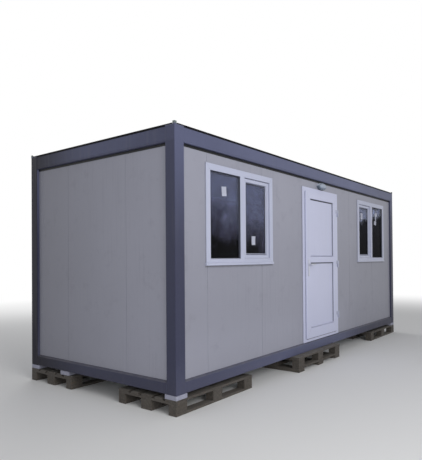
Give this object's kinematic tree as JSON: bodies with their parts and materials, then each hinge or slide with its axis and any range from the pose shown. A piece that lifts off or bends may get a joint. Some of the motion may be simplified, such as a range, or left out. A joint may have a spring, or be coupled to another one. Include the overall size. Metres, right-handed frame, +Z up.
{
  "type": "portable site cabin",
  "caption": "Portable site cabin with a pressed steel frame, sandwich panel walls, a hinged plastic door, plastic windows and pallet supports.",
  "frame": {"origin": "middle of the footprint at ground level, under the middle of the cabin, on the underside of the pallets", "axes": "+Z up, +X along the length, towards the viewer's right when facing the door, -Y out of the front wall with the door and windows"},
  "size_m": [6, 2.6, 2.707],
  "materials": {
    "steel_frame": "satin",
    "wall_panel": "satin",
    "zinc_sheet": "satin",
    "corner_cap": "matte",
    "dark_seal": "matte",
    "upvc": "gloss",
    "door_infill": "satin",
    "window_glass": "gloss",
    "handle_metal": "satin",
    "lamp_housing": "matte",
    "lamp_glass": "satin",
    "floor_vinyl": "matte",
    "ceiling_board": "matte",
    "pallet_wood": "matte",
    "packer": "matte"
  },
  "bodies": {
    "root": {"post_front_left": "steel_frame", "post_front_right": "steel_frame", "post_rear_left": "steel_frame", "post_rear_right": "steel_frame", "floor_rail_front": "steel_frame", "floor_rail_rear": "steel_frame", "floor_rail_left": "steel_frame", "floor_rail_right": "steel_frame", "floor_joists": "steel_frame", "floor_pan": "zinc_sheet", "floor_deck": "floor_vinyl", "roof_beam_front": "steel_frame", "roof_beam_rear": "steel_frame", "roof_beam_left": "steel_frame", "roof_beam_right": "steel_frame", "roof_purlins": "zinc_sheet", "roof_sheet": "zinc_sheet", "roof_edge_strip": "dark_seal", "roof_corner_caps": "corner_cap", "ceiling_panel": "ceiling_board", "wall_head_seal": "dark_seal", "front_wall_left": "wall_panel", "front_wall_right": "wall_panel", "front_wall_over_door": "wall_panel", "rear_wall": "wall_panel", "end_wall_left": "wall_panel", "end_wall_right": "wall_panel", "left_window_frame": "upvc", "left_window_sash": "upvc", "left_window_glass": "window_glass", "right_window_frame": "upvc", "right_window_sash": "upvc", "right_window_glass": "window_glass", "window_handles": "upvc", "door_frame": "upvc", "door_hinges_frame": "upvc", "lamp_base": "lamp_housing", "lamp_lens": "lamp_glass", "front_pallets": "pallet_wood", "rear_pallets": "pallet_wood", "corner_packers": "packer"},
    "door": {"door_leaf": "upvc", "door_panels": "door_infill", "door_handle": "handle_metal", "door_hinges_leaf": "upvc"}
  },
  "joints": [
    {"name": "door_hinge", "type": "hinge", "parent": "root", "child": "door", "pos_m": [0.473, -1.209, 1.354], "axis": [0, 0, 1], "range_deg": [0, 105]}
  ]
}
